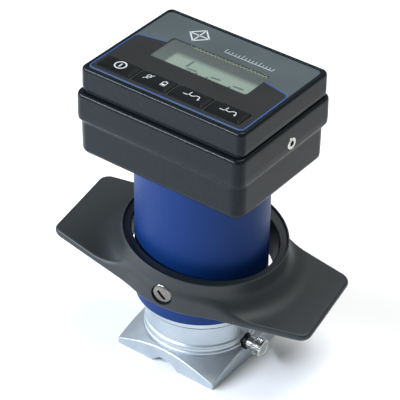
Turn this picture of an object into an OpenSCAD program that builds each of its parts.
// Portable hardness tester, in millimetres, +Z up.
// The origin is on the column's axis, level with the foot's work face.
// +X runs along the head's long side and -Y is the side that the operator faces.

/* [Head] */
// Width of the top shell along X
top_w = 120; // [118:0.5:122]
// Depth of the top shell along Y
top_d = 88.6; // [87:0.2:90]
// Height of the face above the work face
face_z = 205.8; // [205:0.2:207]
// Height of the top shell
top_h = 15.8; // [15:0.2:16.6]
// Width of the bottom shell's rim along X
rim_w = 122.5; // [121:0.5:124]
// Depth of the bottom shell's rim along Y
rim_d = 92.9; // [91:0.2:94]
// Height of the bottom shell's rim
rim_h = 18.4; // [16:0.2:20]
// Width of the bottom shell below its rim
low_w = 117.4; // [115:0.2:119]
// Depth of the bottom shell below its rim
low_d = 85.9; // [85.4:0.2:87]
// Height of the head's underside above the work face
head_floor_z = 145.9; // [145.4:0.1:146.4]
// Radius of the head's upright corners
corner_r = 5; // [4:0.5:6]
// Wall thickness of both shells
wall = 3; // [2.5:0.1:3.2]

/* [Face] */
// Window width along X
window_w = 72; // [70:0.5:74]
// Window depth along Y
window_d = 25; // [24:0.5:26]
// Window centre along Y
window_y = 4.5; // [4:0.1:5]
// Key width along X
key_w = 24.4; // [23.5:0.1:24.6]
// Key depth along Y
key_d = 12.5; // [12:0.1:13]
// Distance between neighbouring keys
key_pitch = 26.6; // [26.2:0.1:27]
// Travel of a key
key_travel = 0.6; // [0.3:0.1:0.8]

/* [Sleeve] */
// Outer radius of the sleeve tube
sleeve_r = 42.5; // [42.2:0.1:42.8]
// Bore radius of the sleeve tube
sleeve_bore_r = 40; // [39.8:0.1:40.2]
// Height of the sleeve tube's lower edge
sleeve_foot_z = 43.5; // [43:0.1:44]
// Stroke of the sleeve
stroke = 8; // [6:0.5:9]

/* [Handle] */
// Height of the pivot axis
pivot_z = 73.3; // [72:0.1:75]
// Turn of the sleeve and handle about the column
handle_turn = 10.5; // [0:0.5:20]
// Tilt of the handle on its pivot screws
handle_tilt = 7.3; // [-10:0.1:10]
// Reach of a wing tip from the axis
wing_reach = 90.6; // [88:0.2:92]
// Radius of the collar's outline
collar_r = 54.1; // [53.8:0.1:55]
// Radius of the collar's hole
collar_bore_r = 46.5; // [46.2:0.1:46.8]
// Taper of each wing's edges
wing_taper = 13.5; // [12:0.5:15]
// Upward slope of each wing
wing_rise = 1.6; // [0:0.1:2.5]
// Thickness of a wing
wing_t = 5; // [4.5:0.1:5.5]

/* [Foot] */
// Side of the square foot
foot_side = 76.6; // [76:0.2:78]
// Radius of the foot's round neck
neck_r = 35.7; // [35.5:0.1:36]
// Height of the seam between foot and neck housing
seam_z = 21.3; // [21:0.1:22]
// Height of the vee groove in the work face
groove_h = 5.4; // [5:0.1:5.6]
// Width of the vee groove at the work face
groove_w = 21; // [19:0.5:22]
// Width of the vee groove's flat roof
groove_roof_w = 8.4; // [8.2:0.1:9]
// Height of the clamp screw's axis
clamp_z = 15; // [14.6:0.1:15.2]

/* [Hidden] */

eps = 0.01;
slip = 0.05;
fine = 96;
small = 32;

// Head levels
top_floor_z = face_z - top_h;
gasket_h = 1.1;
rim_top_z = top_floor_z - gasket_h;
rim_low_z = rim_top_z - rim_h;
lid_t = 3;
overlay_sink = 0.3;
overlay_t = 0.4;
overlay_z = face_z - overlay_sink - overlay_t;
overlay_w = 114;
overlay_d = 81;
overlay_r = 3.5;
lens_t = 1.5;
key_y = -29.3;
key_r = 1.5;
key_gap = 0.25;
key_proud = 0.9;
key_stem_r = 1.6;
key_left_x = -41;
stem_low_z = 200.1;
display_board_z = 191.6;
board_t = 1.6;
boss_x = 49.5;
boss_y = 34;
boss_r = 4.4;
case_screw_r = 1.5;
case_screw_head_r = 2.8;
case_screw_head_h = 2.4;
case_screw_head_z = 4;
jack_y = 4.3;
jack_z = 175.6;
jack_r = 1.8;
jack_nut_r = 4;
jack_nut_t = 1.4;
jack_seat_t = 0.9;
jack_body_r = 3;
jack_body_w = 10;
jack_body_h = 11;
jack_depth = 13;
main_board_z = 168;
stem_gap = 0.1;
switch_h = 4;
switch_w = 6;
display_frame_w = 80;
display_frame_d = 36;
display_frame_h = 2;
display_gap = 0.8;

// Column levels
neck_top_z = 50;
neck_floor_z = 27;
neck_wall = 4.7;
bearing_r = 8;
bearing_flange_r = 11;
bearing_flange_t = 2;
pin_y = -31.6;
pin_r = 1.5;
pin_low_z = 18.3;
pin_h = 6;
spigot_r = 28;
spigot_low_z = 9.3;
foot_bore_low_z = 9;
rod_r = 3;
rod_socket_h = 4;
rod_circle_r = 25;
rod_angles = [90, 210, 330];
screw_angles = [30, 150, 270];
flange_low_z = 140;
flange_spigot_z = 132;
flange_spigot_r = 34;
flange_r = 38;
flange_bore_r = 12;
flange_rod_top_z = flange_spigot_z + rod_socket_h;
flange_screw_r = 2;
flange_screw_low_z = flange_low_z - 3;
flange_screw_head_r = 3.6;
flange_screw_head_h = 2.5;
crosshead_z = 84;
crosshead_h = 8;
crosshead_r = 39.3;
crosshead_hole_r = 8.5;
bush_r = 5;
spindle_r = 5;
spindle_low_z = 12.5;
rod_end_r = 4;
cell_z = 44;
cell_h = 10;
cell_r = 15;
seat_h = 3;
seat_r = 17;
seat_hub_h = 3;
seat_hub_r = 11;
scale_z = 98;
port_r = 7;
holder_low_z = 7;
holder_r = 6;
tip_r_in_holder = 2;
tip_hold_h = 4;
tip_point_r = 0.3;
tip_z = 5.7;

// Sleeve levels
sleeve_top_z = head_floor_z - 0.5;
ring_t = 1.7;
ring_play = 0.1;
ring_groove_r = 41;
ring_w = 3.5;
lip_step = 1.8;
washer_t = 3.4;
washer_r = 6;
lip_low_z = 38.6;
guide_low_z = 36.7;
pivot_shank_r = 4;
pivot_head_r = 6.4;
pivot_face_y = 52.9;

// Handle outline: each straight edge is tangent to the collar's circle
edge_angle = 90 - wing_taper;
tip_r = 7;
tip_corner_x = wing_reach - tip_r;
tip_corner_y = (collar_r - tip_r - tip_corner_x * cos(edge_angle)) / sin(edge_angle);
collar_top_z = 15;
wing_mid_z = -9.3;
flare_r = 64;
flare_mid_z = 10;
rim_r = 52;

// Clamp levels
clamp_hole_r = 3.3;
clamp_shank_r = 3.2;
clamp_bush_r = 5.6;
clamp_bush_x = 33.5;
clamp_bush_out_x = 38.6;
clamp_seat_l = 12;
clamp_pad_x = 28.1;
clamp_pad_t = 3;
clamp_nose_r = 2;
clamp_nose_x = clamp_pad_x + 1.2;
clamp_shank_x = clamp_pad_x + 3.1;
clamp_head_x = 43.4;
clamp_head_r = 6.2;
clamp_head_h = 7.2;

// ---------- shared shapes ----------

module rounded_rect(w, d, r) {
    square([w - 2 * r, d], center = true);
    square([w, d - 2 * r], center = true);
    for (sx = [-1, 1], sy = [-1, 1])
        translate([sx * (w / 2 - r), sy * (d / 2 - r)]) circle(r = r, $fn = small);
}

module block(w, d, r, z, h) {
    translate([0, 0, z]) linear_extrude(height = h) rounded_rect(w, d, r);
}

module post(x, y, z, h, r) {
    translate([x, y, z]) cylinder(h = h, r = r, $fn = small);
}

module disc(z, h, r) {
    translate([0, 0, z]) cylinder(h = h, r = r, $fn = fine);
}

module ring(z, h, r_out, r_in) {
    difference() {
        disc(z, h, r_out);
        disc(z - 1, h + 2, r_in);
    }
}

module along_x(x, y, z, length, r) {
    translate([x, y, z]) rotate([0, 90, 0]) cylinder(h = length, r = r, $fn = small);
}

// A cylinder that points out of the column towards -Y (side = -1) or +Y (side = 1)
module along_y(side, y, z, length, r) {
    translate([0, side * y, z]) rotate([-90 * side, 0, 0]) cylinder(h = length, r = r, $fn = small);
}

module on_circle(angles, r) {
    for (a = angles) rotate([0, 0, a]) translate([r, 0, 0]) children();
}

module at_bosses() {
    for (sx = [-1, 1], sy = [-1, 1]) translate([sx * boss_x, sy * boss_y, 0]) children();
}

function key_x(i) = key_left_x + i * key_pitch;

// ---------- coil springs ----------

function turn_point(coil_r, pitch, a) = [coil_r * cos(a), coil_r * sin(a), pitch * a / 360];

// One ring of a wire that winds about Z: radial and axial offsets from the wire's centre
function wire_ring(coil_r, wire_r, pitch, a, sides) = [
    for (i = [0 : sides - 1])
        let (b = 360 * i / sides)
        turn_point(coil_r + wire_r * cos(b), 0, a)
            + [0, 0, turn_point(coil_r, pitch, a)[2] + wire_r * sin(b)]
];

module coil(coil_r, wire_r, height, turns, per_turn, sides) {
    pitch = (height - 2 * wire_r) / turns;
    rings = turns * per_turn;
    points = [
        for (k = [0 : rings])
            each wire_ring(coil_r, wire_r, pitch, 360 * k / per_turn, sides)
    ];
    walls = [
        for (k = [0 : rings - 1], i = [0 : sides - 1])
            let (j = (i + 1) % sides, low = k * sides, high = low + sides)
            each [[low + i, low + j, high + j], [low + i, high + j, high + i]]
    ];
    start_cap = [[for (i = [0 : sides - 1]) sides - 1 - i]];
    end_cap = [[for (i = [0 : sides - 1]) rings * sides + i]];
    translate([0, 0, wire_r])
        polyhedron(points = points, faces = concat(walls, start_cap, end_cap));
}

// ---------- foot and clamp ----------

// The groove's slopes run on for a little way below the work face, so that the cut is clean
module groove() {
    under = 1;
    lean = (groove_w - groove_roof_w) / 2 / groove_h;
    low_half_w = groove_w / 2 + under * lean;
    rotate([90, 0, 0])
        linear_extrude(height = foot_side + 2, center = true)
            polygon([
                [-low_half_w, -under], [low_half_w, -under],
                [groove_roof_w / 2, groove_h], [-groove_roof_w / 2, groove_h]
            ]);
}

module bead(r, z, bead_r) {
    rotate_extrude($fn = fine) translate([r, z]) circle(r = bead_r, $fn = small);
}

module foot() {
    cone_low_r = 56;
    cone_low_z = 3;
    cone_top_z = 12.6;
    cone_top_r = 38.3;
    shoulder_z = cone_top_z + 1.2;
    waist_r = neck_r - 0.4;
    low_bead_z = 14.9;
    low_bead_r = 1.6;
    high_bead_z = 19.6;
    high_bead_r = 1.5;
    color("silver") difference() {
        union() {
            intersection() {
                translate([-foot_side / 2, -foot_side / 2, 0])
                    cube([foot_side, foot_side, cone_top_z + 2]);
                rotate_extrude($fn = fine) polygon([
                    [0, 0], [cone_low_r, 0], [cone_low_r, cone_low_z],
                    [cone_top_r, cone_top_z], [neck_r, shoulder_z], [0, shoulder_z]
                ]);
            }
            disc(cone_top_z, seam_z - cone_top_z, waist_r);
            bead(waist_r, low_bead_z, low_bead_r);
            bead(waist_r - 0.4, high_bead_z, high_bead_r);
        }
        disc(foot_bore_low_z, seam_z, spigot_r + slip);
        disc(-1, foot_bore_low_z + 2, port_r);
        groove();
        along_x(spigot_r - 2, 0, clamp_z, clamp_bush_x - spigot_r + 3, clamp_hole_r);
        along_x(clamp_bush_x, 0, clamp_z, clamp_seat_l, clamp_bush_r);
        post(0, pin_y, pin_low_z - 0.5, seam_z, pin_r + slip);
    }
}

module clamp_bush() {
    color("dimgray") difference() {
        along_x(clamp_bush_x, 0, clamp_z, clamp_bush_out_x - clamp_bush_x, clamp_bush_r);
        along_x(clamp_bush_x - 1, 0, clamp_z, foot_side, clamp_shank_r + slip);
    }
}

module clamp_pad() {
    color("orange") difference() {
        along_x(clamp_pad_x, 0, clamp_z, clamp_pad_t, clamp_hole_r - slip);
        along_x(clamp_nose_x, 0, clamp_z, clamp_pad_t, clamp_nose_r);
    }
}

module clamp_screw() {
    color("gainsboro") {
        along_x(clamp_nose_x + 0.1, 0, clamp_z, 3, clamp_nose_r - slip);
        along_x(clamp_shank_x, 0, clamp_z, clamp_head_x - clamp_shank_x, clamp_shank_r);
        along_x(clamp_head_x, 0, clamp_z, clamp_head_h, clamp_head_r);
    }
}

// ---------- column inside the sleeve ----------

module neck_housing() {
    color("lightsteelblue") difference() {
        union() {
            disc(seam_z, neck_top_z - seam_z, neck_r);
            disc(spigot_low_z, seam_z - spigot_low_z, spigot_r);
        }
        disc(neck_floor_z, neck_top_z, neck_r - neck_wall);
        disc(spigot_low_z - 1, neck_top_z, bearing_r);
        on_circle(rod_angles, rod_circle_r) disc(neck_floor_z - rod_socket_h, neck_top_z, rod_r);
        post(0, pin_y, seam_z - 1, pin_low_z + pin_h - seam_z + 1, pin_r);
    }
}

module locating_pin() {
    color("gainsboro") post(0, pin_y, pin_low_z, pin_h, pin_r);
}

module spindle_bearing() {
    color("darkgoldenrod") difference() {
        union() {
            disc(spindle_low_z, neck_floor_z - spindle_low_z, bearing_r);
            disc(neck_floor_z, bearing_flange_t, bearing_flange_r);
        }
        disc(0, neck_top_z, spindle_r + slip);
    }
}

module tie_rods() {
    low_z = neck_floor_z - rod_socket_h;
    color("gainsboro") on_circle(rod_angles, rod_circle_r)
        disc(low_z, flange_rod_top_z - low_z, rod_r);
}

module top_flange() {
    color("silver") difference() {
        union() {
            disc(flange_low_z, head_floor_z - flange_low_z, flange_r);
            disc(flange_spigot_z, flange_low_z - flange_spigot_z, flange_spigot_r);
        }
        disc(flange_spigot_z - 1, head_floor_z, flange_bore_r);
        on_circle(rod_angles, rod_circle_r) disc(flange_spigot_z - 1, rod_socket_h + 1, rod_r);
        on_circle(screw_angles, rod_circle_r)
            disc(flange_screw_low_z, head_floor_z, flange_screw_r);
    }
}

module upper_guide() {
    guide_h = 7;
    color("ivory")
        ring(flange_spigot_z + 0.5, guide_h, sleeve_bore_r - slip, flange_spigot_r + slip);
}

module encoder_head() {
    reader_w = 14;
    reader_d = 9;
    reader_z = 104;
    reader_h = 16;
    reader_y = 1.6;
    arm_w = 6;
    arm_z = reader_z + reader_h;
    arm_y = 5;
    arm_back_y = 21;
    color("seagreen") {
        translate([-reader_w / 2, reader_y, reader_z]) cube([reader_w, reader_d, reader_h]);
        translate([-arm_w / 2, arm_y, arm_z]) cube([arm_w, arm_back_y - arm_y, arm_w]);
        translate([-arm_w / 2, arm_back_y - arm_w, arm_z + arm_w])
            cube([arm_w, arm_w, flange_spigot_z - arm_z - arm_w]);
    }
}

module crosshead() {
    color("silver") difference() {
        disc(crosshead_z, crosshead_h, crosshead_r);
        disc(crosshead_z - 1, crosshead_h + 2, crosshead_hole_r);
        on_circle(rod_angles, rod_circle_r) disc(crosshead_z - 1, crosshead_h + 2, bush_r);
    }
}

module crosshead_bushes() {
    color("darkgoldenrod") on_circle(rod_angles, rod_circle_r)
        ring(crosshead_z, crosshead_h, bush_r, rod_r + slip);
}

module return_springs() {
    coil_r = 4.4;
    wire_r = 0.6;
    turns = 9;
    low_z = neck_floor_z + 0.5;
    color("dimgray") on_circle(rod_angles, rod_circle_r) translate([0, 0, low_z])
        coil(coil_r, wire_r, crosshead_z - 0.4 - low_z, turns, 12, 6);
}

module load_spring() {
    coil_r = 13.5;
    wire_r = 1.8;
    turns = 4;
    low_z = cell_z + cell_h + seat_h + 0.1;
    color("dimgray") translate([0, 0, low_z])
        coil(coil_r, wire_r, crosshead_z - 0.2 - low_z, turns, 20, 8);
}

module spindle() {
    color("gainsboro") {
        disc(spindle_low_z, cell_z - spindle_low_z, spindle_r);
        disc(cell_z, scale_z - cell_z, rod_end_r);
    }
}

module load_cell() {
    color("slategray") ring(cell_z, cell_h, cell_r, rod_end_r);
}

module spring_seat() {
    color("gainsboro") {
        ring(cell_z + cell_h, seat_h, seat_r, rod_end_r);
        ring(cell_z + cell_h + seat_h, seat_hub_h, seat_hub_r, rod_end_r);
    }
}

module indenter_holder() {
    color("dimgray")
        ring(holder_low_z, spindle_low_z - holder_low_z, holder_r, tip_r_in_holder);
}

module indenter() {
    color("black") {
        disc(holder_low_z, tip_hold_h, tip_r_in_holder);
        translate([0, 0, tip_z])
            cylinder(h = holder_low_z - tip_z, r1 = tip_point_r, r2 = tip_r_in_holder, $fn = small);
    }
}

module encoder_scale() {
    scale_w = 8;
    scale_t = 2;
    scale_h = 24;
    color("ivory") translate([-scale_w / 2, -scale_t / 2, scale_z])
        cube([scale_w, scale_t, scale_h]);
}

// ---------- sleeve ----------

module sleeve_tube() {
    color("royalblue") difference() {
        disc(sleeve_foot_z, sleeve_top_z - sleeve_foot_z, sleeve_r);
        disc(sleeve_foot_z - 1, sleeve_top_z, sleeve_bore_r);
        for (z = ring_levels()) disc(z, ring_t, ring_groove_r);
        rotate([0, 0, handle_turn])
            for (side = [-1, 1]) along_y(side, sleeve_bore_r - 5, pivot_z, 10, pivot_shank_r);
    }
}

function ring_levels() = [
    crosshead_z - ring_play - ring_t,
    crosshead_z + crosshead_h + ring_play
];

module guide_ring() {
    color("silver") difference() {
        union() {
            disc(guide_low_z, lip_low_z - guide_low_z, sleeve_bore_r - lip_step);
            disc(lip_low_z, neck_top_z - lip_low_z, sleeve_bore_r);
        }
        disc(guide_low_z - 1, neck_top_z, neck_r + slip);
    }
}

module retaining_rings() {
    color("dimgray") for (z = ring_levels())
        ring(z, ring_t, ring_groove_r, ring_groove_r - ring_w);
}

module pivot_screws() {
    shank_y = sleeve_bore_r + 0.2;
    head_y = pivot_face_y + 0.1;
    head_t = 2.5;
    slot_w = 1.4;
    slot_t = 1.4;
    slot_reach = 2 * pivot_head_r;
    color("gainsboro") rotate([0, 0, handle_turn]) for (side = [-1, 1]) difference() {
        union() {
            along_y(side, shank_y, pivot_z, head_y + 0.1 - shank_y, pivot_shank_r);
            along_y(side, head_y, pivot_z, head_t, pivot_head_r);
        }
        translate([0, side * (head_y + head_t), pivot_z])
            cube([slot_w, 2 * slot_t, slot_reach], center = true);
    }
}

module pivot_washers() {
    color("ivory") rotate([0, 0, handle_turn]) for (side = [-1, 1]) difference() {
        along_y(side, sleeve_r, pivot_z, washer_t, washer_r);
        along_y(side, sleeve_r - 1, pivot_z, washer_t + 2, pivot_shank_r);
    }
}

// ---------- handle ----------

function arc(cx, cy, r, from, to, step) = [
    for (a = [from : step : to]) [cx + r * cos(a), cy + r * sin(a)]
];

// Right-hand half of the outline, from the front tangent point to the back one, then its mirror image
module handle_outline() {
    half = concat(
        arc(0, 0, collar_r, -90, -edge_angle, wing_taper / 3),
        arc(tip_corner_x, -tip_corner_y, tip_r, -edge_angle, 0, edge_angle / 9),
        arc(tip_corner_x, tip_corner_y, tip_r, 0, edge_angle, edge_angle / 9),
        arc(0, 0, collar_r, edge_angle, 90, wing_taper / 3)
    );
    last = len(half) - 1;
    polygon(concat(half, [for (i = [1 : last - 1]) -half[i]]));
}

// Height of the wings' lower surface at a distance from the axis
function wing_low_z(r) = wing_mid_z - wing_t / 2 + r * tan(wing_rise);

// The collar's wall sweeps out in a quarter ellipse from its rim to the wings
function flare() =
    let (wing_top_z = wing_low_z(flare_r) + wing_t, drop = flare_mid_z - wing_top_z)
    [
        for (a = [0 : 10 : 90])
            [flare_r - (flare_r - rim_r) * cos(a), flare_mid_z - drop * sin(a)]
    ];

module handle_section() {
    inner_r = collar_bore_r - 2;
    outer_r = wing_reach + 20;
    polygon(concat(
        [
            [outer_r, wing_low_z(outer_r) + wing_t],
            [outer_r, wing_low_z(outer_r)],
            [inner_r, wing_low_z(inner_r)],
            [inner_r, collar_top_z],
            [rim_r - 0.5, collar_top_z]
        ],
        flare()
    ));
}

module handle() {
    reach_z = 40;
    bore_l = 15;
    spot_gap = 0.6;
    color("darkslategray")
        translate([0, 0, pivot_z]) rotate([0, 0, handle_turn]) rotate([0, handle_tilt, 0])
            difference() {
                intersection() {
                    rotate_extrude($fn = fine) handle_section();
                    translate([0, 0, -reach_z / 2]) linear_extrude(height = reach_z)
                        handle_outline();
                }
                disc(-reach_z / 2, reach_z, collar_bore_r);
                for (side = [-1, 1]) {
                    along_y(side, collar_bore_r - 4, 0, bore_l, pivot_shank_r + slip);
                    along_y(side, pivot_face_y, 0, bore_l, pivot_head_r + spot_gap);
                }
            }
}

// ---------- head ----------

module bottom_shell() {
    inner_w = low_w - 2 * wall;
    inner_d = low_d - 2 * wall;
    color("dimgray") difference() {
        union() {
            difference() {
                union() {
                    block(low_w, low_d, corner_r, head_floor_z, rim_top_z - head_floor_z);
                    block(rim_w, rim_d, corner_r, rim_low_z, rim_h);
                }
                block(inner_w, inner_d, corner_r - 2, head_floor_z + wall, rim_h + top_floor_z);
            }
            at_bosses() disc(head_floor_z + 1, rim_top_z - head_floor_z - 1, boss_r);
        }
        at_bosses() {
            disc(head_floor_z - 1, rim_top_z, case_screw_r + 0.2);
            disc(head_floor_z - 1, case_screw_head_z + 1, case_screw_head_r + 0.4);
        }
        on_circle(screw_angles, rod_circle_r)
            disc(head_floor_z - 1, wall + 2, flange_screw_r + 0.1);
        disc(head_floor_z - 1, wall + 2, flange_bore_r);
        along_x(low_w / 2 - 2 * wall, jack_y, jack_z, 4 * wall, jack_body_r);
        along_x(rim_w / 2 - jack_seat_t, jack_y, jack_z, 4 * wall, jack_nut_r + 0.2);
    }
}

module case_gasket() {
    color("black") difference() {
        block(top_w - 2.4, top_d - 2.4, corner_r - 1, rim_top_z, gasket_h);
        block(low_w - 2 * wall, low_d - 2 * wall, corner_r - 2, rim_top_z - 1, gasket_h + 2);
        at_bosses() disc(rim_top_z - 1, gasket_h + 2, boss_r + 0.3);
    }
}

module top_shell() {
    color("darkslategray") difference() {
        union() {
            difference() {
                block(top_w, top_d, corner_r, top_floor_z, top_h);
                block(top_w - 2 * wall, top_d - 2 * wall, corner_r - 2,
                    top_floor_z - 1, top_h - lid_t + 1);
            }
            at_bosses() disc(rim_top_z, face_z - rim_top_z - 1, boss_r);
        }
        block(overlay_w, overlay_d, overlay_r, overlay_z, 5);
        translate([0, window_y, 0]) block(window_w, window_d, 1, face_z - 10, 20);
        for (i = [0 : 3]) translate([key_x(i), key_y, 0])
            block(key_w + 2 * key_gap, key_d + 2 * key_gap, key_r, face_z - 10, 20);
        at_bosses() disc(rim_top_z - 1, face_z - rim_top_z - 3, case_screw_r);
    }
}

module face_overlay() {
    color("slategray") difference() {
        block(overlay_w, overlay_d, overlay_r, overlay_z, overlay_t);
        translate([0, window_y, 0]) block(window_w, window_d, 1, overlay_z - 1, 3);
        for (i = [0 : 3]) translate([key_x(i), key_y, 0])
            block(key_w + 2 * key_gap, key_d + 2 * key_gap, key_r, overlay_z - 1, 3);
    }
}

module window_lens() {
    color("lightgray", 0.4) translate([0, window_y, 0])
        block(window_w, window_d, 1, overlay_z + overlay_t - lens_t, lens_t);
}

module display_panel() {
    frame_z = display_board_z + board_t;
    glass_z = frame_z + display_frame_h;
    glass_top_z = overlay_z + overlay_t - lens_t - display_gap;
    color("darkseagreen") translate([0, window_y, 0]) {
        block(display_frame_w, display_frame_d, 1, frame_z, display_frame_h);
        block(window_w - 1, window_d - 1, 1, glass_z, glass_top_z - glass_z);
    }
}

module display_board() {
    color("darkgreen") difference() {
        block(top_w - 4 * wall, 60, 2, display_board_z, board_t);
        at_bosses() disc(display_board_z - 1, board_t + 2, boss_r + 0.5);
    }
}

module key_switches() {
    switch_z = display_board_z + board_t;
    color("black") for (i = [0 : 3]) translate([key_x(i), key_y, 0]) {
        block(switch_w, switch_w, 0.5, switch_z, switch_h);
        disc(switch_z + switch_h,
            stem_low_z - switch_z - switch_h - key_travel - stem_gap, key_stem_r);
    }
}

module main_board() {
    color("darkgreen") difference() {
        block(100, 64, 2, main_board_z, board_t);
        at_bosses() disc(main_board_z - 1, board_t + 2, boss_r + 0.5);
    }
}

module battery_pack() {
    cell_d = 16;
    pack_w = 70;
    pack_y = 25.5;
    color("steelblue") translate([0, pack_y, 0])
        block(pack_w, cell_d, 3, head_floor_z + wall, cell_d);
}

module charger_jack() {
    body_x = rim_w / 2 - jack_depth;
    color("black") difference() {
        union() {
            translate([body_x - 1, jack_y - jack_body_w / 2, main_board_z + board_t])
                cube([low_w / 2 - wall - body_x, jack_body_w, jack_body_h]);
            along_x(body_x, jack_y, jack_z, jack_depth - jack_seat_t, jack_body_r - slip);
        }
        along_x(body_x, jack_y, jack_z, jack_depth + 2, jack_r);
    }
}

module jack_nut() {
    color("gainsboro") difference() {
        along_x(rim_w / 2 - jack_seat_t, jack_y, jack_z, jack_nut_t, jack_nut_r);
        along_x(rim_w / 2 - 2, jack_y, jack_z, jack_nut_t + 2, jack_r);
    }
}

module buzzer() {
    buzzer_r = 6;
    buzzer_h = 7;
    color("black") post(-30, -15, main_board_z + board_t, buzzer_h, buzzer_r);
}

module case_screws() {
    color("gainsboro") at_bosses() {
        disc(head_floor_z + case_screw_head_z - case_screw_head_h - 0.1, case_screw_head_h,
            case_screw_head_r);
        disc(head_floor_z + case_screw_head_z - 0.1, face_z - head_floor_z - 3 * wall, case_screw_r);
    }
}

module flange_screws() {
    color("gainsboro") on_circle(screw_angles, rod_circle_r) {
        disc(flange_screw_low_z, head_floor_z + wall - flange_screw_low_z, flange_screw_r);
        disc(head_floor_z + wall, flange_screw_head_h, flange_screw_head_r);
    }
}

// A domed cap on a stem: the cap stands in the face and the stem reaches down to its switch
module key_cap(i) {
    low_z = face_z - lid_t + key_travel;
    translate([key_x(i), key_y, 0]) {
        block(key_w, key_d, key_r - 0.2, low_z, face_z + key_proud - 0.4 - low_z);
        block(key_w - 1, key_d - 1, key_r - 0.4, face_z, key_proud);
        post(0, 0, stem_low_z, low_z - stem_low_z + eps, key_stem_r);
    }
}

module power_key() {
    color("dimgray") key_cap(0);
}

module light_key() {
    color("dimgray") key_cap(1);
}

module scale_key() {
    color("dimgray") key_cap(2);
}

module mode_key() {
    color("dimgray") key_cap(3);
}

foot();
clamp_bush();
clamp_pad();
clamp_screw();
neck_housing();
locating_pin();
spindle_bearing();
tie_rods();
top_flange();
upper_guide();
encoder_head();
crosshead();
crosshead_bushes();
return_springs();
load_spring();
spindle();
load_cell();
spring_seat();
indenter_holder();
indenter();
encoder_scale();
sleeve_tube();
guide_ring();
retaining_rings();
pivot_screws();
pivot_washers();
handle();
bottom_shell();
case_gasket();
top_shell();
face_overlay();
window_lens();
display_panel();
display_board();
key_switches();
main_board();
battery_pack();
charger_jack();
jack_nut();
buzzer();
case_screws();
flange_screws();
power_key();
light_key();
scale_key();
mode_key();
